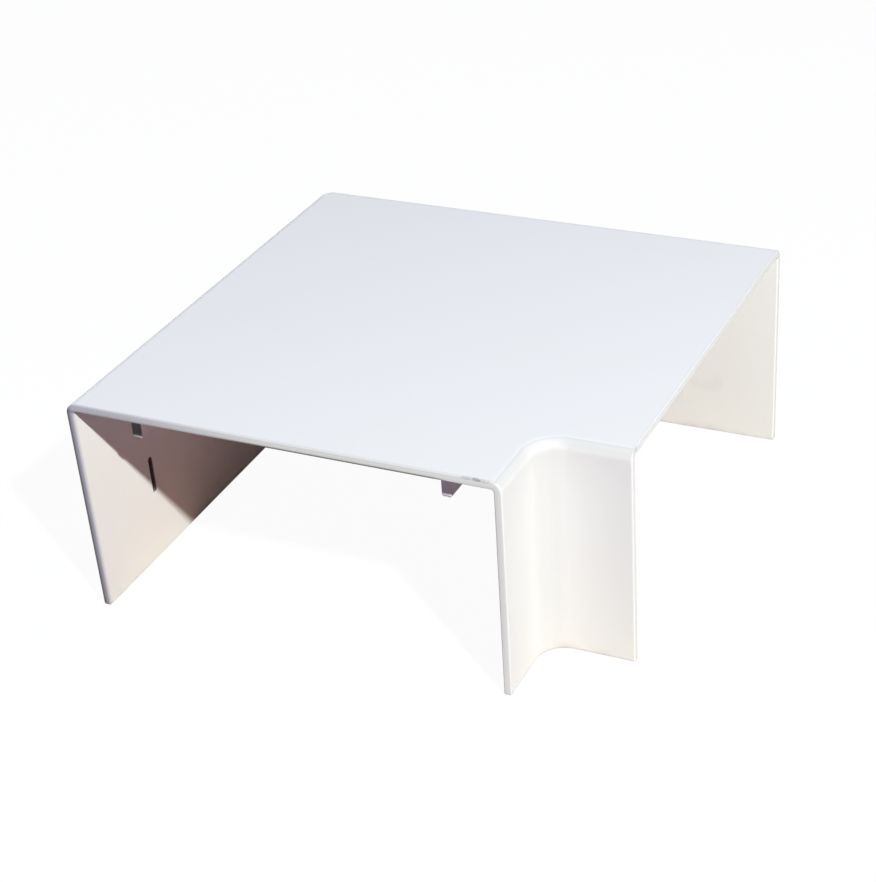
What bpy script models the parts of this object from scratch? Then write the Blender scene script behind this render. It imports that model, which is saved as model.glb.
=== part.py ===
"""Flat angle for 100 x 50 mm cable trunking: an L-shaped cover that closes a level right-angle corner of the run.

One moulded piece: a flat plate, two long outer walls, two short walls meeting in the inner corner, two open mouths and an open underside.
The front mouth faces -Y and the right mouth faces +X. The origin is the middle of the footprint, on the plane that the rims rest on.
"""

import math

import bmesh
import bpy
import numpy as np

MM = 0.001

# Trunking that the cover slides over
TRUNK_WIDTH = 100.0 * MM
TRUNK_DEPTH = 50.0 * MM
SIDE_PLAY = 0.7 * MM
DEPTH_PLAY = 1.2 * MM

# Shell
WALL = 1.8 * MM
PLATE = 1.8 * MM
STUB = 20.5 * MM
TOE_IN = 1.0 * MM
EDGE_ROUND = 2.3 * MM
RIM_ROUND = 0.5 * MM
BACK_CORNER_ROUND = 3.5 * MM
INNER_CORNER_ROUND = 6.5 * MM
ROOT_FILLET = 0.8 * MM

# Locating ribs under the plate, two at each mouth
RIB_SETBACK = 4.6 * MM
RIB_LENGTH = 15.0 * MM
RIB_THICKNESS = 2.4 * MM
RIB_DROP = 7.0 * MM
RIB_FROM_WALL = 11.7 * MM
RIB_SOFTEN = 0.3 * MM

# Upright groove in the inner face of each long wall
GROOVE_SETBACK = 25.1 * MM
GROOVE_WIDTH = 1.7 * MM
GROOVE_DEPTH = 1.1 * MM
GROOVE_LENGTH = 9.5 * MM
GROOVE_TOP = 27.2 * MM

# Overall sizes that follow
WIDTH = TRUNK_WIDTH + 2 * (SIDE_PLAY + WALL)
HEIGHT = TRUNK_DEPTH + DEPTH_PLAY + PLATE
SIDE = WIDTH + STUB
UNDERSIDE = HEIGHT - PLATE

# How far the cutters run past what they cut
PAST = 10.0 * MM
ARC_STEPS = 8


def clear_scene():
    for old in list(bpy.data.objects):
        bpy.data.objects.remove(old, do_unlink=True)


def toe(z):
    """How far a long wall leans in at height z: nothing below the rounded top edge, all of it at the rim."""
    top = HEIGHT - EDGE_ROUND
    return TOE_IN * (top - z) / top


def arc(centre, radius, start, end):
    """Points of a level arc, angles in degrees."""
    a = np.radians(np.linspace(start, end, ARC_STEPS + 1))
    return np.column_stack([centre[0] + radius * np.cos(a), centre[1] + radius * np.sin(a)])


def outline(long_in, short_in, back_radius, inner_radius, past):
    """The L seen from above, its long sides moved in by long_in and its short sides by short_in."""
    left = long_in
    back = SIDE - long_in
    end = SIDE + past
    back_corner = arc((left + back_radius, back - back_radius), back_radius, 180, 90)
    inner_centre = (WIDTH + INNER_CORNER_ROUND, STUB - INNER_CORNER_ROUND)
    inner_corner = arc(inner_centre, inner_radius, 90, 180)
    return np.vstack(
        [
            [(left, -past)],
            back_corner,
            [(end, back), (end, STUB + short_in)],
            inner_corner,
            [(WIDTH - short_in, -past)],
        ]
    )


def quarter(radius):
    """(in, down) steps of a quarter round, from its level end to its upright end."""
    a = np.radians(np.linspace(0, 90, ARC_STEPS + 1))
    return [(radius * (1 - math.sin(t)), radius * (1 - math.cos(t))) for t in a]


def cover_rings():
    """Outer surface, from the plate's top face down to the rims."""
    rings = []
    for inset, down in quarter(EDGE_ROUND):
        ring = outline(inset, inset, BACK_CORNER_ROUND - inset, INNER_CORNER_ROUND + inset, 0)
        rings.append((ring, HEIGHT - down))
    for inset, up in reversed(quarter(RIM_ROUND)):
        lean = toe(up)
        ring = outline(lean + inset, inset, BACK_CORNER_ROUND - inset, INNER_CORNER_ROUND + inset, 0)
        rings.append((ring, up))
    return rings


def channel_rings():
    """Inner surface, from the plate's underside down past the rims. It runs out of both mouths."""
    rings = []
    for inset, down in quarter(ROOT_FILLET):
        z = UNDERSIDE - down
        reach = WALL + inset
        ring = outline(reach + toe(z), reach, BACK_CORNER_ROUND - reach, INNER_CORNER_ROUND + reach, PAST)
        rings.append((ring, z))
    ring = outline(WALL + toe(-PAST), WALL, BACK_CORNER_ROUND - WALL, INNER_CORNER_ROUND + WALL, PAST)
    rings.append((ring, -PAST))
    return rings


def placed(points):
    """Moves points from the front left corner to the middle of the footprint."""
    return np.asarray(points) - (SIDE / 2, SIDE / 2, 0)


def loft(name, rings):
    """Closed body through the rings."""
    points = np.vstack([np.column_stack([ring, np.full(len(ring), z)]) for ring, z in rings])
    count = len(rings[0][0])
    faces = [tuple(range(count)), tuple(range(len(points) - count, len(points)))[::-1]]
    for level in range(len(rings) - 1):
        for i in range(count):
            a = level * count + i
            b = level * count + (i + 1) % count
            faces.append((b, a, a + count, b + count))
    return make_object(name, placed(points), faces)


def make_object(name, points, faces):
    mesh = bpy.data.meshes.new(name)
    mesh.from_pydata([tuple(p) for p in points], [], faces)
    work = bmesh.new()
    work.from_mesh(mesh)
    bmesh.ops.recalc_face_normals(work, faces=work.faces)
    work.to_mesh(mesh)
    work.free()
    made = bpy.data.objects.new(name, mesh)
    bpy.context.scene.collection.objects.link(made)
    return made


def box(low, high):
    """Corner points and faces of an upright box."""
    x, y, z = zip(low, high)
    points = [(i, j, k) for i in x for j in y for k in z]
    faces = [(0, 1, 3, 2), (4, 6, 7, 5), (0, 4, 5, 1), (2, 3, 7, 6), (0, 2, 6, 4), (1, 5, 7, 3)]
    return points, faces


def both_arms(low, high):
    """A box at the front arm and its mirror image at the right arm, across the diagonal of the L."""
    twin_low = (SIDE - high[1], SIDE - high[0], low[2])
    twin_high = (SIDE - low[1], SIDE - low[0], high[2])
    return [(low, high), (twin_low, twin_high)]


def boxes_object(name, boxes):
    points = []
    faces = []
    for low, high in boxes:
        corners, sides = box(low, high)
        faces += [tuple(len(points) + i for i in side) for side in sides]
        points += corners
    return make_object(name, placed(points), faces)


def soften_lower_edges(made, amount):
    """Bevels the edges of the ribs that stand free of the plate."""
    work = bmesh.new()
    work.from_mesh(made.data)
    edges = [e for e in work.edges if min(v.co.z for v in e.verts) < UNDERSIDE - amount]
    bmesh.ops.bevel(work, geom=edges, offset=amount, segments=2, profile=0.5, affect="EDGES")
    work.to_mesh(made.data)
    work.free()


def make_ribs():
    near_long_wall = WALL + RIB_FROM_WALL
    near_short_wall = WIDTH - WALL - RIB_FROM_WALL - RIB_THICKNESS
    boxes = []
    for x in (near_long_wall, near_short_wall):
        low = (x, RIB_SETBACK, UNDERSIDE - RIB_DROP)
        high = (x + RIB_THICKNESS, RIB_SETBACK + RIB_LENGTH, UNDERSIDE + PLATE / 2)
        boxes += both_arms(low, high)
    ribs = boxes_object("ribs", boxes)
    soften_lower_edges(ribs, RIB_SOFTEN)
    return ribs


def make_grooves():
    top = HEIGHT - GROOVE_TOP
    inner_face = WALL + toe(top)
    low = (inner_face - GROOVE_DEPTH, GROOVE_SETBACK - GROOVE_WIDTH / 2, top - GROOVE_LENGTH)
    high = (inner_face + PAST / 2, GROOVE_SETBACK + GROOVE_WIDTH / 2, top)
    return boxes_object("grooves", both_arms(low, high))


def combine(body, other, operation):
    step = body.modifiers.new(operation.lower() + "_" + other.name, "BOOLEAN")
    step.operation = operation
    step.solver = "EXACT"
    step.object = other
    other.hide_render = True
    other.display_type = "WIRE"


def pvc():
    material = bpy.data.materials.new("white_pvc")
    material.use_nodes = True
    shader = material.node_tree.nodes["Principled BSDF"]
    shader.inputs["Base Color"].default_value = (0.83, 0.84, 0.86, 1.0)
    shader.inputs["Roughness"].default_value = 0.42
    shader.inputs["Metallic"].default_value = 0.0
    return material


def main():
    clear_scene()
    cover = loft("angle_cover", cover_rings())
    combine(cover, loft("channel", channel_rings()), "DIFFERENCE")
    combine(cover, make_ribs(), "UNION")
    combine(cover, make_grooves(), "DIFFERENCE")
    cover.data.materials.append(pvc())


main()
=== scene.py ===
import math

import bpy
import numpy as np
from bpy.props import FloatProperty, FloatVectorProperty, PointerProperty
from mathutils import Matrix, Vector


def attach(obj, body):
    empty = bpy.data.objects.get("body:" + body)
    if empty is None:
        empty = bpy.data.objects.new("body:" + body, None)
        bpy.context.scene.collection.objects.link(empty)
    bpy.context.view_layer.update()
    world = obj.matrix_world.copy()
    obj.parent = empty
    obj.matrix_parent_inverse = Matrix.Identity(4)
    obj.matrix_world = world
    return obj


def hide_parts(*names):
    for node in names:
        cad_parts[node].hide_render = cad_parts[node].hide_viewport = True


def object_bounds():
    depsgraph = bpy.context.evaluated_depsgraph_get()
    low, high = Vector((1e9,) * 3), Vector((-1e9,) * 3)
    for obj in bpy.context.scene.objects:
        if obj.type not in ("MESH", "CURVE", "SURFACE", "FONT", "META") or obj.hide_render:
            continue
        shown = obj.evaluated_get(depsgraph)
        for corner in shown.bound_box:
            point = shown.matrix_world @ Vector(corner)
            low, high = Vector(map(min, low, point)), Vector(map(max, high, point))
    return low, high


bl_info = {
    "name": "Trunking Flat Angle",
    "version": (1, 0, 0),
    "blender": (4, 5, 0),
    "location": "3D View > Sidebar > Flat Angle",
    "description": "Moulded flat angle for cable trunking, with its plastic finish and a plain studio",
    "category": "Object",
}

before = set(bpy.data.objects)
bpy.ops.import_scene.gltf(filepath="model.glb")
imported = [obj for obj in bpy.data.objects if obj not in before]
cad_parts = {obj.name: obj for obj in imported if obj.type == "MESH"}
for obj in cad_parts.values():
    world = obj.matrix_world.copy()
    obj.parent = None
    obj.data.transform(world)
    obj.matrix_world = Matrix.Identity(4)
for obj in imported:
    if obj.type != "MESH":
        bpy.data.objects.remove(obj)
CAD_LOW, CAD_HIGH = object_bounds()

NODE = "angle_cover"
SLOT = "white_pvc"
MM = 0.001


# Settings


def length(name, description, millimetres):
    """A length setting, given in millimetres and kept in metres."""
    return FloatProperty(
        name=name,
        description=description,
        default=millimetres * MM,
        min=0.0,
        unit="LENGTH",
        subtype="DISTANCE",
        precision=5,
    )


def amount(name, description, default, top=1.0):
    return FloatProperty(name=name, description=description, default=default, min=0.0, max=top)


def colour(name, description, red, green, blue):
    return FloatVectorProperty(
        name=name,
        description=description,
        default=(red, green, blue),
        min=0.0,
        max=1.0,
        subtype="COLOR",
    )


def direction(name, description, x, y, z):
    return FloatVectorProperty(name=name, description=description, default=(x, y, z), subtype="DIRECTION")


class CoverSizes(bpy.types.PropertyGroup):
    """Sizes of the moulded shell."""

    side: length("Side", "Overall length along each arm", (CAD_HIGH.x - CAD_LOW.x) / MM)
    height: length("Height", "From the rims to the top face", (CAD_HIGH.z - CAD_LOW.z) / MM)
    stub: length("Short wall", "Length of the short walls", 20.5)
    wall: length("Wall", "Thickness of the upright walls", 1.8)
    plate: length("Plate", "Thickness of the flat plate", 1.8)
    toe_in: length("Toe-in", "How far the long walls lean in at the rim", 0.7)
    pinch: length("Pinch", "How much further the left wall leans in at the front mouth", 1.1)
    pinch_length: length("Pinch length", "How far back from the front mouth the left wall is pinched", 85.0)
    edge_round: length("Top edge", "Radius of the outer top edge", 2.3)
    rim_round: length("Rim", "Radius of the rim's outer edge", 0.5)
    rim_soft: length("Rim inside", "Radius of the rim's inner edge", 0.3)
    mouth_round: length("Mouth edge", "Radius of the edges round both mouths", 0.3)
    back_round: length("Outer corner", "Radius of the upright outer corner", 3.5)
    inner_round: length("Inner corner", "Radius of the upright inner corner", 6.5)
    root_fillet: length("Root fillet", "Fillet between the plate and the walls", 0.8)
    groove_setback: length("Groove place", "From the mouth to the groove's middle", 25.1)
    groove_top: length("Groove top", "From the top face to the groove's upper end", 27.2)
    groove_length: length("Groove length", "Height of the upright groove", 9.5)
    groove_width: length("Groove width", "Width of the upright groove", 1.7)
    groove_depth: length("Groove depth", "Depth of the upright groove", 1.1)


class RibSizes(bpy.types.PropertyGroup):
    """Sizes of the locating ribs under the plate."""

    setback: length("Setback", "From the mouth to the rib's front", 4.6)
    length: length("Length", "Along the arm", 15.0)
    thickness: length("Thickness", "Across the arm", 2.4)
    drop: length("Drop", "Below the plate's underside", 7.0)
    from_wall: length("From wall", "From the wall's inner face to the rib", 11.7)
    corner_round: length("Corners", "Radius of the upright corners", 0.35)
    lower_round: length("Lower edge", "Radius of the lower edges", 0.7)
    root_fillet: length("Root fillet", "Fillet between the rib and the plate", 0.5)


class PlasticFinish(bpy.types.PropertyGroup):
    """Colours and surface of the white plastic, and the painted shade on it."""

    plastic: colour("Plastic", "Clean moulded plastic", 0.845, 0.83, 0.81)
    aged: colour("Aged plastic", "Slightly yellowed patches", 0.83, 0.80, 0.755)
    # Painted shade on the front end face, darker at its left, and darker grey on the left wall's outer edge at
    # the front mouth.
    shaded_end: colour("Worn end", "Front end face at its dull left side", 0.575, 0.545, 0.605)
    clean_end: colour("Clean end", "Front end face from its middle to the right", 0.84, 0.83, 0.80)
    shaded_outer_edge: colour("Grey edge", "Grimy outer edge of the left wall at the front mouth", 0.125, 0.117, 0.15)
    # Colour of the real dust, scratches and scuffs, and of all the painted shade.
    dirt_and_shade: colour("Dirt", "Dust and scuffs", 0.10, 0.085, 0.09)
    roughness: amount("Roughness", "Roughness of the clean surface", 0.40)
    gloss: amount("Gloss", "Gloss of the outside, next to the matt hollow side", 0.3)
    gloss_blur: amount("Gloss blur", "Roughness of the gloss", 0.36)
    grain: length("Grain", "Height of the mould's fine grain", 0.012)
    peel: length("Peel", "Height of the coarser mottling", 0.0168)
    ripple: length("Ripple", "Height of the long soft ripple", 0.03)
    scratch_depth: length("Scratch depth", "Depth of the faint scratches", 0.0048)
    scuff_depth: length("Scuff depth", "Depth of the scuffs on the front edge", 0.02)
    ageing: amount("Ageing", "How far the aged patches show", 0.35)
    # Painted shade that dims the highlight on the top edge along the short walls and down the inner corner.
    edge_shade: amount("Dulling", "Dirt on the top edge along the short walls", 0.21)
    # Painted shade along the front end face's lower edge.
    shade_line_left: amount("Lower line, left", "Dirt along the front end's lower edge at the left", 0.30)
    shade_line_right: amount("Lower line, right", "Dirt along the front end's lower edge from its middle on", 0.84)
    # Painted shade that dims the highlight on the plate's upper edges at both mouths.
    front_edge_shade: amount("Front edge", "Dirt on the plate's upper edge at the front mouth", 0.20)
    right_edge_shade: amount("Right edge", "Dirt on the plate's upper edge at the right mouth", 0.13)
    # Painted shade on the left rib's front.
    rib_front_shade: amount("Rib front", "Dirt on the left rib's front", 0.75)
    rib_foot_shade: amount("Rib foot", "Dirt on the front of the left rib's foot", 0.45)
    dust: amount("Rim dust", "Dust along the rims", 0.16)
    scratched: amount("Scratches", "Dirt in the faint scratches", 0.035)
    scuffed: amount("Scuffs", "Dirt in the scuffs on the front edge", 0.62)
    # Painted shade in the upright grooves.
    groove_shade: amount("Groove dirt", "Dirt in the upright grooves", 0.90)


class StudioSettings(bpy.types.PropertyGroup):
    """Camera, lights and floor."""

    azimuth: FloatProperty(name="Azimuth", description="Camera angle round the part", default=26.616)
    elevation: FloatProperty(name="Elevation", description="Camera angle above the floor", default=29.750)
    roll: FloatProperty(name="Roll", description="Camera turn about its own axis", default=3.862)
    distance: length("Distance", "Camera to aim point", 501.8)
    lens: FloatProperty(name="Lens", description="Focal length in millimetres", default=85.706)
    aim: FloatVectorProperty(
        name="Aim point",
        description="Point the camera looks at",
        default=(-1.169 * MM, -3.105 * MM, 22.443 * MM),
        subtype="TRANSLATION",
    )
    lamp: colour("Lamp", "Colour of the lamp", 0.965, 1.0, 0.955)
    lamp_power: amount("Lamp power", "Power of the lamp in watts", 23.7, 100.0)
    lamp_distance: length("Lamp distance", "Lamp to the part's middle", 1400.0)
    lamp_size: length("Lamp size", "Width of the lamp", 45.0)
    lamp_from: direction("Lamp direction", "From the part to the lamp", 0.58, -0.507, 0.64)
    panel: colour("Ceiling panel", "Colour of the soft light from above", 0.48, 0.55, 1.0)
    panel_power: amount("Ceiling power", "Power of the ceiling panel in watts", 3.8, 100.0)
    panel_distance: length("Ceiling distance", "Ceiling panel to the part's middle", 1100.0)
    panel_size: length("Ceiling size", "Width of the ceiling panel", 1000.0)
    rear: colour("Rear light", "Colour of the soft light from the left and behind", 0.92, 0.96, 1.0)
    rear_power: amount("Rear power", "Power of the soft light from the left and behind in watts", 6.0, 100.0)
    rear_distance: length("Rear distance", "Rear light to the part's middle", 1300.0)
    rear_size: length("Rear size", "Width of the rear light", 600.0)
    rear_from: direction("Rear direction", "From the part to the rear light", -0.88, 0.46, 0.12)
    sky: colour("Sky", "Colour of the faint light from all round", 0.75, 0.80, 1.0)
    sky_strength: amount("Sky strength", "Strength of the faint light", 0.02, 10.0)
    table_arm: colour("Table in the arm", "Floor's colour as it lights the front arm", 0.62, 0.28, 0.23)
    table_foot: colour("Table at the foot", "Floor's colour along the left wall's foot", 0.50, 0.37, 0.29)
    # Painted shade: the floor darker deep in the front arm.
    table_deep_shade: colour("Table deep", "Floor's colour deep in the front arm", 0.18, 0.0, 0.0)
    table_under: colour("Table under", "Floor's colour under the right half", 0.52, 0.44, 0.40)
    table_right: colour("Table right", "Floor's colour at the right of the part", 0.74, 0.70, 0.68)
    table_front: colour("Table in front", "Floor's colour in front, at the right", 0.24, 0.18, 0.28)
    table_ribs: colour("Table by the rib", "Floor's colour in front of the right rib", 0.46, 0.36, 0.48)
    table_round: colour("Table round", "Floor's colour at the left and behind", 0.4, 0.4, 0.4)
    shadow: amount("Shadow", "How much of the part's shadow the floor shows", 0.045)


# Surfaces

# How many steps each stretch of a surface is divided into.
STEPS = {
    "mouth": 5,
    "rim": 6,
    "top edge": 8,
    "arm": 8,
    "groove edge": 6,
    "groove floor": 4,
    "groove end": 13,
    "run": 43,
    "outer corner": 7,
    "wall": 14,
    "plate": 31,
    "rib corner": 5,
    "rib fillet": 5,
    "rib foot": 4,
}
CRISP = 0.05 * MM  # half the width over which a groove's edge falls
SUPPORT = 0.3 * MM  # from the end of a flat face to the level that keeps it flat
APART = 0.6 * MM  # least distance from a plain level to the groove's ends
OVERLAP = 0.02 * MM  # how far a rib's fillet starts below the plate
DIGITS = 7  # digits of a metre past which two stations are one
SAME = 10.0**-DIGITS


def make_mesh(name, points, faces):
    mesh = bpy.data.meshes.new(name)
    mesh.from_pydata(points.reshape(-1, 3).tolist(), [], faces)
    mesh.polygons.foreach_set("use_smooth", np.ones(len(mesh.polygons), bool))
    mesh.update()
    made = bpy.data.objects.new(name, mesh)
    bpy.context.scene.collection.objects.link(made)
    return made


def loop_faces(rows, columns):
    """Quads of a grid whose columns close on themselves, row after row."""
    a = np.arange(rows - 1)[:, None] * columns + np.arange(columns)[None, :]
    b = np.arange(rows - 1)[:, None] * columns + (np.arange(columns)[None, :] + 1) % columns
    return np.stack([a, b, b + columns, a + columns], -1).reshape(-1, 4)


def turns(name):
    """The angles of a quarter turn, in that stretch's steps."""
    return np.radians(spread(0, 90, name))


def spread(low, high, name):
    """Even places from low to high, in that stretch's steps."""
    return np.linspace(low, high, STEPS[name] + 1)


def long_line(s, t):
    """Outer line of the long walls, t metres from the front mouth, and its direction into the part.

    Straight back along the left wall, a quarter turn round the outer corner, and straight right along the
    back wall.
    """
    run = s.side - s.back_round
    turn = np.clip((t - run) / s.back_round, 0, math.pi / 2)
    last = np.maximum(t - run - s.back_round * math.pi / 2, 0)
    x = s.back_round * (1 - np.cos(turn)) + last
    y = np.minimum(t, run) + s.back_round * np.sin(turn)
    return np.stack([x, y], -1), np.stack([np.cos(turn), -np.sin(turn)], -1)


def short_line(s, t):
    """Outer line of the short walls at the same t, and its direction into the part.

    It keeps pace with the long line in the straight arms, and turns the inner corner while the long line goes
    round the outside.
    """
    width = s.side - s.stub
    straight = s.stub - s.inner_round
    total = line_length(s)
    turn = math.pi / 2 * np.clip((t - straight) / (total - 2 * straight), 0, 1)
    last = np.maximum(t - (total - straight), 0)
    x = width + s.inner_round * (1 - np.cos(turn)) + last
    y = np.minimum(t, straight) + s.inner_round * np.sin(turn)
    return np.stack([x, y], -1), np.stack([-np.cos(turn), np.sin(turn)], -1)


def line_length(s):
    return 2 * (s.side - s.back_round) + s.back_round * math.pi / 2


def wall_profile(s, levels):
    """Half of the cross-section from a rim's middle to the plate: (inset, height, normal) outside and inside.

    Outside: round rim, upright face, round top edge. Inside: softened rim, upright face, hollow root fillet.
    """
    under = s.height - s.plate
    rim_middle = (s.rim_round + s.wall - s.rim_soft) / 2
    a, b = turns("rim"), turns("top edge")
    sin_a, cos_a, sin_b, cos_b = np.sin(a), np.cos(a), np.sin(b), np.cos(b)
    share = (levels - levels[0]) / (levels[-1] - levels[0])
    low, high = s.rim_round, s.height - s.edge_round
    flat = levels[1:-1] * 0
    outside = np.concatenate(
        [
            [(rim_middle, 0, 0, -1)],
            np.stack([low - low * sin_a, low - low * cos_a, -sin_a, -cos_a], -1),
            np.stack([flat, low + (high - low) * share[1:-1], flat - 1, flat], -1),
            np.stack([s.edge_round * (1 - cos_b), high + s.edge_round * sin_b, -cos_b, sin_b], -1),
        ]
    )
    soft, root = s.rim_soft, s.root_fillet
    inside = np.concatenate(
        [
            [(rim_middle, 0, 0, -1)],
            np.stack([s.wall - soft + soft * sin_a, soft - soft * cos_a, sin_a, -cos_a], -1),
            np.stack([flat + s.wall, levels[1:-1], flat + 1, flat], -1),
            np.stack([s.wall + root * (1 - cos_b), under - root + root * sin_b, cos_b, -sin_b], -1),
        ]
    )
    return outside, inside


def whole_profile(half, across, normal_z):
    """The half profile up the short wall, straight over to the long wall and down it, and the share across."""
    count = len(across)
    end = half[-1]
    over = np.repeat([[end[0], end[1], 0, normal_z]], count, 0)
    profile = np.concatenate([half, over, half[::-1]])
    share = np.concatenate([np.zeros(len(half)), across, np.ones(len(half))])
    return profile, share


def groove_cut(s, t, z):
    """Depth of the upright groove: full within half its width of an upright line, none just outside it."""
    from_mouth = np.minimum(t, line_length(s) - t) - s.groove_setback
    radius = s.groove_width / 2
    top = s.height - s.groove_top - radius
    low = top - s.groove_length + 2 * radius
    beyond = z - np.clip(z, low, top)
    near = np.hypot(from_mouth, beyond)
    return s.groove_depth * np.clip((radius + CRISP - near) / (2 * CRISP), 0, 1)


def shell_points(s, t, profile, share, inside):
    """Points of one side of the shell: every station t along the arms by every point of the profile.

    Each is the profile's point measured in from the long line or from the short line, and on the plate between
    the two. Near a mouth the profile shrinks along its normal by a quarter round, which softens the edges.
    """
    from_end = np.minimum(np.minimum(t, line_length(s) - t), s.mouth_round)
    shrink = s.mouth_round - np.sqrt(np.maximum(s.mouth_round**2 - (s.mouth_round - from_end) ** 2, 0))
    inset, z, normal_in, normal_z = profile.T
    height = z[None, :] - shrink[:, None] * normal_z[None, :]
    into = inset[None, :] - shrink[:, None] * normal_in[None, :]
    top = s.height - s.edge_round
    pinch = s.pinch * np.clip(1 - t / s.pinch_length, 0, 1)
    lean = (s.toe_in + pinch[:, None]) * np.clip((top - height) / top, 0, 1)
    long_in = into + lean
    if inside:
        long_in = long_in - groove_cut(s, t[:, None], height) * (share == 1)[None, :]
    long_at, long_to = long_line(s, t)
    short_at, short_to = short_line(s, t)
    on_long = long_at[:, None, :] + long_to[:, None, :] * long_in[:, :, None]
    on_short = short_at[:, None, :] + short_to[:, None, :] * into[:, :, None]
    level = on_short + (on_long - on_short) * share[None, :, None]
    level -= s.side / 2
    return np.concatenate([level, height[:, :, None]], -1)


def stations(s):
    """Distances along the arms, closer together at the mouths, the grooves and the outer corner."""
    total = line_length(s)
    mouth = s.mouth_round * (1 - np.cos(turns("mouth")))
    arm = spread(s.mouth_round, s.stub - s.inner_round, "arm")
    support = [s.mouth_round + 3 * CRISP]
    edge = s.groove_width / 2 + spread(-3 * CRISP, 3 * CRISP, "groove edge")
    groove = s.groove_setback + np.concatenate([-edge, spread(-0.5 * MM, 0.5 * MM, "groove floor"), edge])
    run = spread(s.stub - s.inner_round, s.side - s.back_round, "run")
    corner = s.side - s.back_round + spread(0, s.back_round * math.pi / 4, "outer corner")
    half = distinct([mouth, arm, support, groove, run, corner])
    half = half[half <= total / 2 + SAME]
    return distinct([half, total - half])


def distinct(places):
    """The places in order, each once."""
    return np.unique(np.round(np.concatenate(places), DIGITS))


def heights(s):
    """Levels of the inner wall face, close together at the two ends of the groove."""
    top = s.height - s.groove_top
    end = spread(-4 * CRISP, s.groove_width / 2 + 4 * CRISP, "groove end")
    ends = np.concatenate([top - end, top - s.groove_length + end])
    low, high = s.rim_soft, s.height - s.plate - s.root_fillet
    rest = spread(low, high, "wall")
    support = [low + SUPPORT, high - SUPPORT]
    rest = rest[np.abs(rest[:, None] - ends[None, :]).min(1) > APART]
    return np.unique(np.concatenate([[low, high], support, rest, ends]))


def shell_mesh(s):
    """The whole shell as one closed surface: the profile's two sides carried along both arms.

    A mouth is closed by quads from the outer side to the inner, with a five-sided face at each rim's middle.
    """
    t = stations(s)
    outer, inner = wall_profile(s, heights(s))
    near_wall = np.array([0.003, 0.01])
    across = np.concatenate([near_wall, spread(0.03, 0.97, "plate"), 1 - near_wall[::-1]])
    outside, share = whole_profile(outer, across, 1)
    inside, _ = whole_profile(inner, across, -1)
    out_points = shell_points(s, t, outside, share, False)
    in_points = shell_points(s, t, inside, share, True)
    points = np.concatenate([out_points, in_points[:, -2:0:-1]], 1)
    rows, columns = points.shape[:2]
    last = len(outside) - 1
    k = np.arange(2, last - 2)
    front = np.stack([k, k + 1, columns - k - 1, columns - k], -1).tolist()
    front.append([0, 1, 2, columns - 2, columns - 1])
    front.append([last, last + 1, last + 2, last - 2, last - 1])
    back = [[(rows - 1) * columns + i for i in face[::-1]] for face in front]
    return points, loop_faces(rows, columns)[:, ::-1].tolist() + front + back


def slab(length, thickness, levels, corner):
    """A rounded upright slab: a round-cornered rectangle carried down through (offset, height) levels.

    The rectangle's corner circle grows with the offset, so its sides stay parallel.
    """
    a = turns("rib corner")
    angles = np.concatenate([a, a + math.pi / 2, a + math.pi, a + 3 * math.pi / 2])
    right = np.repeat([1, -1, -1, 1], len(a))
    front = np.repeat([1, 1, -1, -1], len(a))
    offset, z = np.array(levels).T
    radius = corner + offset[:, None]
    x = right * (thickness / 2 - corner) + radius * np.cos(angles)
    y = front * (length / 2 - corner) + radius * np.sin(angles)
    points = np.stack([x, y, np.repeat(z[:, None], len(angles), 1)], -1)
    rows, columns = points.shape[:2]
    faces = loop_faces(rows, columns)[:, ::-1].tolist()
    faces.append(list(range(columns)))
    faces.append(list(range((rows - 1) * columns, rows * columns))[::-1])
    return points.reshape(-1, 3), faces


def rib_levels(s, r):
    """Outline offsets from inside the plate to the rib's foot: root fillet, straight side, round lower edge.

    The fillet's first level lies just below the plate, so that the two surfaces cross and don't only touch.
    """
    under = s.height - s.plate
    foot = under - r.drop
    a = turns("rib fillet")[:-1]
    fillet = np.stack([r.root_fillet * (1 - np.sin(a)), under - r.root_fillet * (1 - np.cos(a))], -1)
    fillet[0, 1] = under - OVERLAP
    low = turns("rib foot")
    lower = np.stack([-r.lower_round * (1 - np.cos(low)), foot + r.lower_round * (1 - np.sin(low))], -1)
    buried = [(r.root_fillet, under + s.plate / 3)]
    return np.concatenate([buried, fillet, [(0, under - r.root_fillet)], lower])


# Materials

WHITE = (1.0, 1.0, 1.0, 1.0)
BLACK = (0.0, 0.0, 0.0, 1.0)

# Noise by use: scale, detail, roughness.
NOISES = {
    "clouds": (22.0, 3.0, 0.55),
    "ripple": (38.0, 1.0, 0.55),
    "dust": (160.0, 4.0, 0.55),
    "peel": (420.0, 2.0, 0.55),
    "broken": (900.0, 4.0, 0.7),
    "grain": (2600.0, 2.0, 0.55),
}

# Fine scratches in two directions: turn about the upright axis, scale along each axis, and the noise at which
# they start and are full.
SCRATCHES = (
    (0.62, (60.0, 1500.0, 60.0), 0.70, 0.76),
    (-0.9, (1300.0, 45.0, 60.0), 0.71, 0.77),
)

# Scuffs on the front's upper edge, in millimetres: along the front, below the top, half width, half height; and
# their strength.
SCUFFS = (
    (99.5, 0.12, 1.0, 0.32, 1.0),
    (97.4, 0.05, 1.4, 0.40, 0.42),
    (101.2, 0.15, 1.2, 0.35, 0.38),
)

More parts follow.
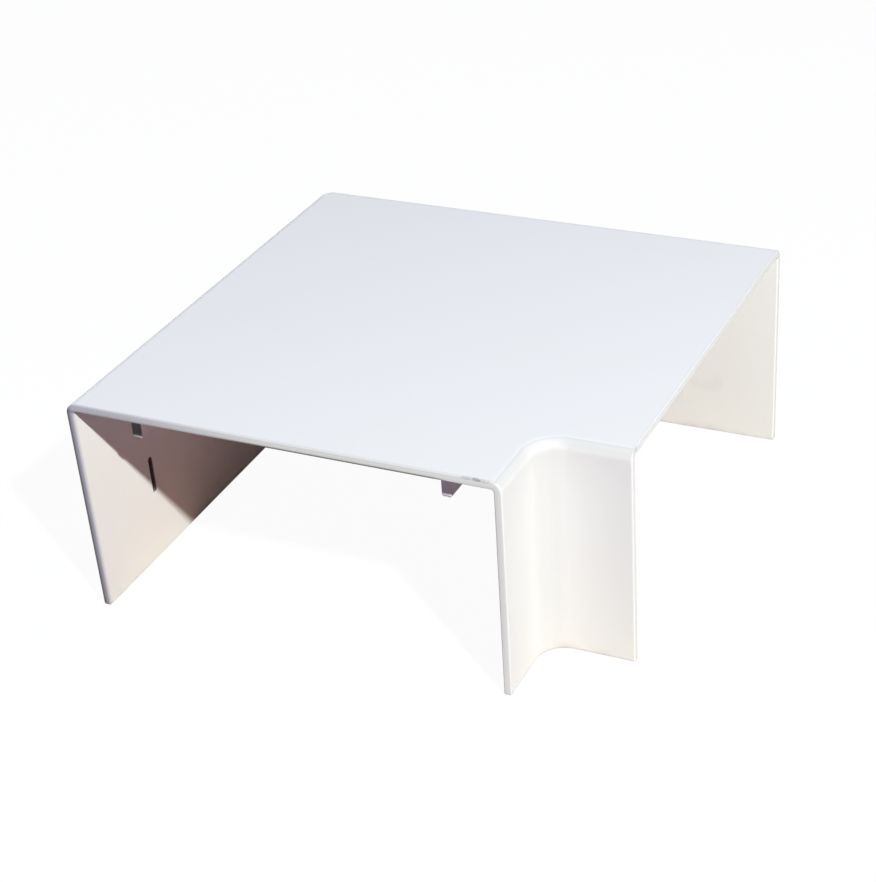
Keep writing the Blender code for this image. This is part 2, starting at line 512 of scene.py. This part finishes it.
# Borders of the marks and the painted shade on the plastic, in millimetres: where each starts and where it is
# full.
MARKS = {
    # The front end face, and where its painted shade fades to the plain colour.
    "end, back": (0.8, 0.0),
    "end, unshaded": (0, 55),
    "short wall": (-1.1, -0.9),
    "hollow, inwards": (0.25, 0.45),
    "hollow, down": (0.9, 1.1),
    "edge shade, down": (0.0, 0.12),
    "edge shade, inwards": (-3.2, -2.6),
    "scuffs, back": (0.9, 0.3),
    "line, from above": (-0.68, -0.24),
    "line, from below": (0.6, 0.1),
    "line, stronger": (30.75, 48.75),
    "line, from the right": (93.75, 88.75),
    "rib, from the left": (8, 9),
    "rib, from the right": (52.75, 51.75),
    "rib, from behind": (5.1, 4.8),
    "rib, from the front": (4.0, 4.3),
    "rib, from above": (0.8, 1.2),
    "rib, from below": (9, 8),
    "rib, above its foot": (6.2, 5.4),
    "front edge, down": (0.6, 0.15),
    "front edge, back": (0.9, 0.1),
    "right edge, down": (0.9, 0.3),
    "right edge, in": (0.8, 0.0),
    "dust, up": (2.4, 0.1),
}

# Patches that follow a noise: the noise at which each starts and is full.
PATCHES = {"aged": (0.42, 0.75), "dust": (0.40, 0.72), "scuffs": (0.30, 0.52)}

CORNER_SHADE = 0.85  # how strong the painted shade down the inner corner is, against the top edge

# How much rougher the plastic gets by use.
ROUGHER = {"clouds": 0.14, "scratches": 0.10, "end": 0.15, "scuffs": 0.2, "groove": 0.3}


class Value:
    """A socket used in Python expressions: each operator adds one Math node to its material."""

    def __init__(self, graph, socket):
        self.graph = graph
        self.socket = socket

    def math(self, operation, first, second=None):
        values = [first] if second is None else [first, second]
        return self.graph.add("Math", {"operation": operation}, dict(enumerate(values)))

    def __add__(self, other):
        return self.math("ADD", self, other)

    __radd__ = __add__

    def __sub__(self, other):
        return self.math("SUBTRACT", self, other)

    def __rsub__(self, other):
        return self.math("SUBTRACT", other, self)

    def __mul__(self, other):
        return self.math("MULTIPLY", self, other)

    __rmul__ = __mul__

    def __truediv__(self, other):
        return self.math("DIVIDE", self, other)

    def __abs__(self):
        return self.math("ABSOLUTE", self)

    def top(self, other):
        return self.math("MAXIMUM", self, other)


class Graph:
    """The node tree of a material or world."""

    def __init__(self, owner):
        owner.use_nodes = True
        self.tree = owner.node_tree
        self.tree.nodes.clear()

    def add(self, kind, settings=None, values=None, out=0):
        """Adds a node, sets it up, fills or links its inputs, and gives one of its outputs."""
        node = self.tree.nodes.new("ShaderNode" + kind)
        for name, setting in (settings or {}).items():
            setattr(node, name, setting)
        for name, value in (values or {}).items():
            socket = node.inputs[name]
            if isinstance(value, Value):
                self.tree.links.new(value.socket, socket)
            else:
                socket.default_value = value
        return Value(self, node.outputs[out])

    def other(self, value, name):
        """Another output of the node that a value comes from."""
        return Value(self, value.socket.node.outputs[name])

    def axes(self, place):
        """The three coordinates of a place."""
        x = self.add("SeparateXYZ", None, {0: place})
        return x, self.other(x, "Y"), self.other(x, "Z")

    def step(self, value, low, high):
        """0 below low and 1 above high, smooth between; falls instead where low is above high."""
        return self.add(
            "MapRange",
            {"interpolation_type": "SMOOTHSTEP"},
            {"Value": value, "From Min": low, "From Max": high, "To Min": 0.0, "To Max": 1.0},
        )

    def zone(self, value, borders):
        """A step between two borders given in millimetres."""
        start, full = borders
        return self.step(value, start * MM, full * MM)

    def noise(self, place, scale, detail, roughness):
        inputs = {"Vector": place, "Scale": scale, "Detail": detail, "Roughness": roughness}
        return self.add("TexNoise", None, inputs)

    def mix(self, share, first, second):
        """Colour between two colours."""
        return self.add("Mix", {"data_type": "RGBA"}, {0: share, 6: first, 7: second}, out=2)

    def seen(self):
        """1 for rays from the camera, off gloss or through glass, and 0 for light that falls on the part."""
        camera = self.add("LightPath", out="Is Camera Ray")
        return camera.top(self.other(camera, "Is Glossy Ray")).top(self.other(camera, "Is Transmission Ray"))

    def finish(self, kind, shader):
        """Links the shader to the output."""
        node = self.tree.nodes.new("ShaderNode" + kind)
        self.tree.links.new(shader.socket, node.inputs[0])


def rgba(shade):
    return (shade[0], shade[1], shade[2], 1.0)


class Spot:
    """Where a point of the moulding lies: its coordinates, and how far it lies from each side.

    The left and back distances are taken from the leaning outer faces, so they follow the toe-in and the pinch.
    """

    def __init__(self, g, s):
        half = s.side / 2
        self.place = g.add("TexCoord", out="Object")
        self.x, self.y, self.z = g.axes(self.place)
        self.along_front = self.x + half
        self.from_front = self.y + half
        self.from_right = half - self.x
        self.below_top = s.height - self.z
        self.below_plate = (s.height - s.plate) - self.z
        upright = s.height - s.edge_round
        down = ((upright - self.z) / upright).top(0.0)
        pinch = (1 - self.from_front / s.pinch_length).top(0.0) * s.pinch
        self.from_left = self.along_front - down * (pinch + s.toe_in)
        self.from_back = half - self.y - down * s.toe_in
        self.past_short_x = self.x - (half - s.stub)
        self.past_short_y = (s.stub - half) - self.y


def end_shade_colour(g, s, spot, finish):
    """Front end face: darker at its left with painted shade, its plain colour from its middle on, and painted
    shade towards the left wall's outer edge.
    """
    clean = g.zone(spot.along_front, MARKS["end, unshaded"])
    face = g.mix(clean, rgba(finish.shaded_end), rgba(finish.clean_end))
    to_outer = g.step(spot.from_left, s.wall, -0.15 * s.wall)
    return g.mix(to_outer, face, rgba(finish.shaded_outer_edge))


def groove_mask(g, s, spot):
    """1 in the two upright grooves of the long walls' inner faces."""
    wide, narrow = s.groove_width / 2 + 0.11 * MM, s.groove_width / 2 - 0.01 * MM
    surface, sunk = s.wall - 0.05 * MM, s.wall - 0.25 * MM
    left = g.step(abs(spot.from_front - s.groove_setback), wide, narrow) * g.step(spot.from_left, surface, sunk)
    back = g.step(abs(spot.from_right - s.groove_setback), wide, narrow) * g.step(spot.from_back, surface, sunk)
    half_length = s.groove_length / 2
    from_middle = abs(spot.below_top - (s.groove_top + half_length))
    return left.top(back) * g.step(from_middle, half_length + 0.1 * MM, half_length - 0.1 * MM)


def short_wall_mask(g, spot):
    """1 on the short walls and round the inner corner."""
    border = MARKS["short wall"]
    return g.zone(spot.past_short_x, border) * g.zone(spot.past_short_y, border)


def hollow_mask(g, spot, short_walls):
    """1 on the matt hollow side, and 0 on the glossier outside."""
    border = MARKS["hollow, inwards"]
    inside = g.zone(spot.from_left, border) * g.zone(spot.from_back, border)
    return inside * g.zone(spot.below_top, MARKS["hollow, down"]) * (1 - short_walls)


def edge_shade_mask(g, s, spot, short_walls):
    """1 on the round top edge along the short walls, and a little less down the inner corner's upper part:
    where painted shade dims the highlight.
    """
    edge, corner = s.edge_round, s.inner_round
    edges = g.step(spot.below_top, edge - 0.1 * MM, edge - 1.5 * MM)
    edges = edges * g.zone(spot.below_top, MARKS["edge shade, down"])
    for past in (spot.past_short_x, spot.past_short_y):
        edges = edges * g.zone(past, MARKS["edge shade, inwards"])
    near_corner = g.step(spot.past_short_x.top(spot.past_short_y), corner * 1.1, corner * 0.4)
    near_corner = near_corner * g.step(spot.below_top, 0.2 * MM, edge - 0.5 * MM)
    return edges.top(near_corner * short_walls * CORNER_SHADE)


def scuff_mask(g, spot):
    """Soft oval marks on the front's upper edge, broken up by noise."""
    marks = None
    for along, below, wide, tall, strength in SCUFFS:
        across = (spot.along_front - along * MM) / (wide * MM)
        down = (spot.below_top - below * MM) / (tall * MM)
        mark = g.step(across * across + down * down, 1.5, 0.5) * strength
        marks = mark if marks is None else marks.top(mark)
    broken = g.step(g.noise(spot.place, *NOISES["broken"]), *PATCHES["scuffs"])
    return marks * broken * g.zone(spot.from_front, MARKS["scuffs, back"])


def scratch_mask(g, spot):
    """Faint fine lines in two directions: noise stretched along each of them."""
    lines = []
    for turn, scale, start, full in SCRATCHES:
        inputs = {"Vector": spot.place, "Rotation": (0.0, 0.0, turn), "Scale": scale}
        stretched = g.add("Mapping", None, inputs)
        lines.append(g.step(g.noise(stretched, 1.0, 2.0, 0.55), start, full))
    return lines[0].top(lines[1])


def lower_shade_line(g, spot, hollow, finish):
    """Painted shade line along the front end face's lower edge: faint at the left, strong from the middle on.
    """
    z, along = spot.below_plate, spot.along_front
    band = g.zone(z, MARKS["line, from above"]) * g.zone(z, MARKS["line, from below"])
    rise = g.zone(along, MARKS["line, stronger"]) * (finish.shade_line_right - finish.shade_line_left)
    return band * hollow * (rise + finish.shade_line_left) * g.zone(along, MARKS["line, from the right"])


def left_rib_shade(g, spot, finish):
    """Painted shade on the left rib's front face, a little less dark at its foot."""
    x, y, z = spot.along_front, spot.from_front, spot.below_plate
    across = g.zone(x, MARKS["rib, from the left"]) * g.zone(x, MARKS["rib, from the right"])
    front = g.zone(y, MARKS["rib, from behind"]) * g.zone(y, MARKS["rib, from the front"])
    down = g.zone(z, MARKS["rib, from above"]) * g.zone(z, MARKS["rib, from below"])
    above_foot = g.zone(z, MARKS["rib, above its foot"]) * (finish.rib_front_shade - finish.rib_foot_shade)
    return across * front * down * (above_foot + finish.rib_foot_shade)


def plastic_material(s, finish):
    """White moulded plastic: fine grain, faint ageing, dust, scratches and scuffs, and painted shade on the
    mouth ends, the top edges, the left rib's front and in the grooves.
    """
    material = bpy.data.materials.new(SLOT)
    g = Graph(material)
    spot = Spot(g, s)
    clouds = g.noise(spot.place, *NOISES["clouds"])
    at_end = g.zone(spot.from_front, MARKS["end, back"])
    short_walls = short_wall_mask(g, spot)
    hollow = hollow_mask(g, spot, short_walls)
    outside = 1 - hollow
    grooves = groove_mask(g, s, spot) * hollow
    scuffs = scuff_mask(g, spot)
    scratches = scratch_mask(g, spot)
    # Painted shade on the plate's upper edges at the mouths.
    front_edge_shade = g.zone(spot.below_top, MARKS["front edge, down"])
    front_edge_shade = front_edge_shade * g.zone(spot.from_front, MARKS["front edge, back"])
    right_edge_shade = g.zone(spot.below_top, MARKS["right edge, down"])
    right_edge_shade = right_edge_shade * g.zone(spot.from_right, MARKS["right edge, in"])
    dust = g.step(g.noise(spot.place, *NOISES["dust"]), *PATCHES["dust"])
    dust = dust * g.zone(spot.z, MARKS["dust, up"])

    aged = g.step(clouds, *PATCHES["aged"])
    base = g.mix(aged * finish.ageing, rgba(finish.plastic), rgba(finish.aged))
    # Painted shade on the top edge along the short walls and the inner corner, dimming its highlight.
    shaded_edges = edge_shade_mask(g, s, spot, short_walls) * outside
    base = g.mix(shaded_edges * finish.edge_shade, base, rgba(finish.dirt_and_shade))
    # Painted shade on the front end face.
    base = g.mix(at_end, base, end_shade_colour(g, s, spot, finish))
    # Painted shade (the lower line, the upper edges at the mouths, the left rib's front, the grooves) and real
    # dust, scratches and scuffs.
    for dirty in (
        lower_shade_line(g, spot, hollow, finish) * at_end,
        front_edge_shade * finish.front_edge_shade,
        right_edge_shade * finish.right_edge_shade,
        left_rib_shade(g, spot, finish),
        dust * finish.dust,
        scratches * finish.scratched,
        scuffs * finish.scuffed,
        grooves * finish.groove_shade,
    ):
        base = g.mix(dirty, base, rgba(finish.dirt_and_shade))

    rough = (clouds - 0.5) * ROUGHER["clouds"] + finish.roughness
    rough = rough + scratches * ROUGHER["scratches"] + at_end * ROUGHER["end"]
    rough = rough + scuffs * ROUGHER["scuffs"] + grooves * ROUGHER["groove"]
    height = g.noise(spot.place, *NOISES["grain"]) * finish.grain
    height = height + g.noise(spot.place, *NOISES["peel"]) * finish.peel
    height = height + g.noise(spot.place, *NOISES["ripple"]) * finish.ripple
    height = height - scratches * finish.scratch_depth - scuffs * finish.scuff_depth
    bump = g.add("Bump", None, {"Strength": 1.0, "Distance": 1.0, "Height": height})

    inputs = {"Base Color": base, "Roughness": rough, "Normal": bump, "IOR": 1.5, "Specular IOR Level": 0.0}
    inputs |= {"Coat Weight": outside * finish.gloss, "Coat Roughness": finish.gloss_blur, "Coat IOR": 1.4}
    g.finish("OutputMaterial", g.add("BsdfPrincipled", None, inputs))
    return material


# Borders of the table's colours, in millimetres: where each starts and where it is full.
TABLE = {
    "foot, leftwards": (-44, -56),
    "foot, forwards": (8, -14),
    "deep, backwards": (-35, 15),
    "under, rightwards": (-5, 45),
    "right, rightwards": (55, 85),
    "front, rightwards": (-20, 50),
    "rib, from the left": (-20, 25),
    "rib, from the right": (58, 38),
    "part, backwards": (-85, -45),
    "round, leftwards": (-65, -80),
    "round, backwards": (65, 80),
}


def table_colour(g, studio):
    """Colour by place: black at the front left, a painted shadow on the floor; warm and then darker in the
    front arm, the darker part painted shade; paler to the right.
    """
    x, y, _ = g.axes(g.add("TexCoord", out="Object"))
    arm = g.mix(g.zone(y, TABLE["deep, backwards"]), rgba(studio.table_arm), rgba(studio.table_deep_shade))
    foot = g.zone(x, TABLE["foot, leftwards"]) * g.zone(y, TABLE["foot, forwards"])
    arm = g.mix(foot, arm, rgba(studio.table_foot))
    under = g.mix(g.zone(x, TABLE["under, rightwards"]), arm, rgba(studio.table_under))
    under = g.mix(g.zone(x, TABLE["right, rightwards"]), under, rgba(studio.table_right))
    # Painted shadow: the floor black in front at the left.
    front = g.mix(g.zone(x, TABLE["front, rightwards"]), BLACK, rgba(studio.table_front))
    rib = g.zone(x, TABLE["rib, from the left"]) * g.zone(x, TABLE["rib, from the right"])
    front = g.mix(rib, front, rgba(studio.table_ribs))
    near = g.mix(g.zone(y, TABLE["part, backwards"]), front, under)
    beyond = g.zone(x, TABLE["round, leftwards"]).top(g.zone(y, TABLE["round, backwards"]))
    return g.mix(beyond, near, rgba(studio.table_round))


def floor_material(studio):
    """Floor that shows white with a light shadow, and throws a table's colour on the part."""
    material = bpy.data.materials.new("floor")
    g = Graph(material)
    seen = g.seen()
    matt = {"Base Color": table_colour(g, studio), "Roughness": 1.0, "Specular IOR Level": 0.0}
    table = g.add("BsdfPrincipled", None, matt)
    paper = g.add("BsdfDiffuse", None, {"Color": WHITE})
    glow = g.add("Emission", None, {"Color": WHITE, "Strength": 1.0})
    white = g.add("MixShader", None, {0: studio.shadow, 1: glow, 2: paper})
    g.finish("OutputMaterial", g.add("MixShader", None, {0: seen, 1: table, 2: white}))
    return material


def sky_world(studio):
    """White where it is seen, a soft sky where it lights the part."""
    world = bpy.data.worlds.new("studio")
    g = Graph(world)
    seen = g.seen()
    sky = g.add("Background", None, {"Color": rgba(studio.sky), "Strength": studio.sky_strength})
    white = g.add("Background", None, {"Color": WHITE, "Strength": 1.0})
    g.finish("OutputWorld", g.add("MixShader", None, {0: seen, 1: sky, 2: white}))
    return world


# Operators

FLOOR_REACH = 3.0
FLOOR_GAP = 0.1 * MM
LIT_POINT = (0.0, 0.0, 30 * MM)
SHARP = math.radians(40)


class FLATANGLE_OT_shell(bpy.types.Operator):
    """Makes the moulded shell with its grooves and its plastic"""

    bl_idname = "flat_angle.shell"
    bl_label = "Make Shell"

    def execute(self, context):
        s = context.scene.flat_angle_sizes
        points, faces = shell_mesh(s)
        shell = make_mesh("moulded_cover", points, faces)
        shell.data.materials.append(plastic_material(s, context.scene.flat_angle_finish))
        shell.data.set_sharp_from_angle(angle=SHARP)
        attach(shell, "root")
        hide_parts(NODE)
        return {"FINISHED"}


class FLATANGLE_OT_ribs(bpy.types.Operator):
    """Makes the four locating ribs and moulds them to the plate"""

    bl_idname = "flat_angle.ribs"
    bl_label = "Make Ribs"

    def execute(self, context):
        s = context.scene.flat_angle_sizes
        r = context.scene.flat_angle_ribs
        shell = bpy.data.objects["moulded_cover"]
        width = s.side - s.stub
        place = s.wall + r.from_wall + r.thickness / 2
        back = r.setback + r.length / 2
        half = s.side / 2
        points, faces = slab(r.length, r.thickness, rib_levels(s, r), r.corner_round)
        turned = points[:, [1, 0, 2]] * (-1, -1, 1)
        flipped = [face[::-1] for face in faces]
        all_points, all_faces = [], []
        for across in (place, width - place):
            front = (points, faces, across, back)
            right = (turned, flipped, s.side - back, s.side - across)
            for rib_points, rib_faces, x, y in (front, right):
                start = len(points) * len(all_points)
                all_faces += [[start + i for i in face] for face in rib_faces]
                all_points.append(rib_points + (x - half, y - half, 0))
        ribs = make_mesh("ribs", np.concatenate(all_points), all_faces)
        union = shell.modifiers.new("ribs", "BOOLEAN")
        union.operation = "UNION"
        union.solver = "EXACT"
        union.object = ribs
        graph = context.evaluated_depsgraph_get()
        joined = bpy.data.meshes.new_from_object(shell.evaluated_get(graph))
        old = shell.data
        shell.modifiers.clear()
        shell.data = joined
        bpy.data.meshes.remove(old)
        bpy.data.objects.remove(ribs, do_unlink=True)
        joined.set_sharp_from_angle(angle=SHARP)
        return {"FINISHED"}


class FLATANGLE_OT_stage(bpy.types.Operator):
    """Makes the floor, the lights, the sky and the camera"""

    bl_idname = "flat_angle.stage"
    bl_label = "Make Stage"

    def execute(self, context):
        studio = context.scene.flat_angle_studio
        corners = np.array([(-1, -1, 0), (1, -1, 0), (1, 1, 0), (-1, 1, 0)]) * FLOOR_REACH - (0, 0, FLOOR_GAP)
        floor = make_mesh("floor", corners, [[0, 1, 2, 3]])
        floor.data.materials.append(floor_material(studio))
        context.scene.world = sky_world(studio)
        make_lights(context.scene, studio)
        make_camera(context.scene, studio)
        context.scene.view_settings.view_transform = "Standard"
        return {"FINISHED"}


def area_light(scene, name, shape, size, shade, power, direction_to, distance):
    """A flat light that looks at the part's middle from a direction and a distance."""
    data = bpy.data.lights.new(name, "AREA")
    data.shape = shape
    data.size = size
    data.color = shade
    data.energy = power
    light = bpy.data.objects.new(name, data)
    scene.collection.objects.link(light)
    towards = Vector(direction_to).normalized()
    light.location = Vector(LIT_POINT) + towards * distance
    light.rotation_euler = towards.to_track_quat("Z", "Y").to_euler()


def make_lights(scene, studio):
    """A small lamp in front at the right, a wide soft panel overhead, a soft light from the left and behind."""
    t = studio
    area_light(scene, "lamp", "DISK", t.lamp_size, t.lamp, t.lamp_power, t.lamp_from, t.lamp_distance)
    area_light(scene, "panel", "SQUARE", t.panel_size, t.panel, t.panel_power, (0, 0, 1), t.panel_distance)
    area_light(scene, "rear", "SQUARE", t.rear_size, t.rear, t.rear_power, t.rear_from, t.rear_distance)


def make_camera(scene, studio):
    """Camera at the photograph's angle: round by the azimuth, up by the elevation, then rolled."""
    a = math.radians(studio.azimuth)
    e = math.radians(studio.elevation)
    back = Vector((math.sin(a) * math.cos(e), -math.cos(a) * math.cos(e), math.sin(e)))
    right = Vector((0, 0, 1)).cross(back).normalized()
    turn = Matrix([right, back.cross(right), back]).transposed()
    turn = turn @ Matrix.Rotation(math.radians(-studio.roll), 3, "Z")
    data = bpy.data.cameras.new("camera")
    data.lens = studio.lens
    data.sensor_width = 36.0
    data.sensor_fit = "AUTO"
    data.clip_start = 0.01
    data.clip_end = 20.0
    camera = bpy.data.objects.new("camera", data)
    scene.collection.objects.link(camera)
    camera.matrix_world = Matrix.Translation(Vector(studio.aim) + back * studio.distance) @ turn.to_4x4()
    scene.camera = camera


class FLATANGLE_PT_panel(bpy.types.Panel):
    """Lists the part's operators"""

    bl_label = "Flat Angle"
    bl_idname = "FLATANGLE_PT_panel"
    bl_space_type = "VIEW_3D"
    bl_region_type = "UI"
    bl_category = "Flat Angle"

    def draw(self, context):
        for operator in OPERATORS:
            self.layout.operator(operator.bl_idname)


OPERATORS = (FLATANGLE_OT_shell, FLATANGLE_OT_ribs, FLATANGLE_OT_stage)
SETTINGS = {
    "flat_angle_sizes": CoverSizes,
    "flat_angle_ribs": RibSizes,
    "flat_angle_finish": PlasticFinish,
    "flat_angle_studio": StudioSettings,
}
CLASSES = (*SETTINGS.values(), *OPERATORS, FLATANGLE_PT_panel)


def register():
    for made in CLASSES:
        bpy.utils.register_class(made)
    for name, group in SETTINGS.items():
        setattr(bpy.types.Scene, name, PointerProperty(type=group))


def unregister():
    for name in SETTINGS:
        delattr(bpy.types.Scene, name)
    for made in reversed(CLASSES):
        bpy.utils.unregister_class(made)


def main():
    register()
    bpy.ops.flat_angle.shell()
    bpy.ops.flat_angle.ribs()
    bpy.ops.flat_angle.stage()


if __name__ == "__main__":
    main()
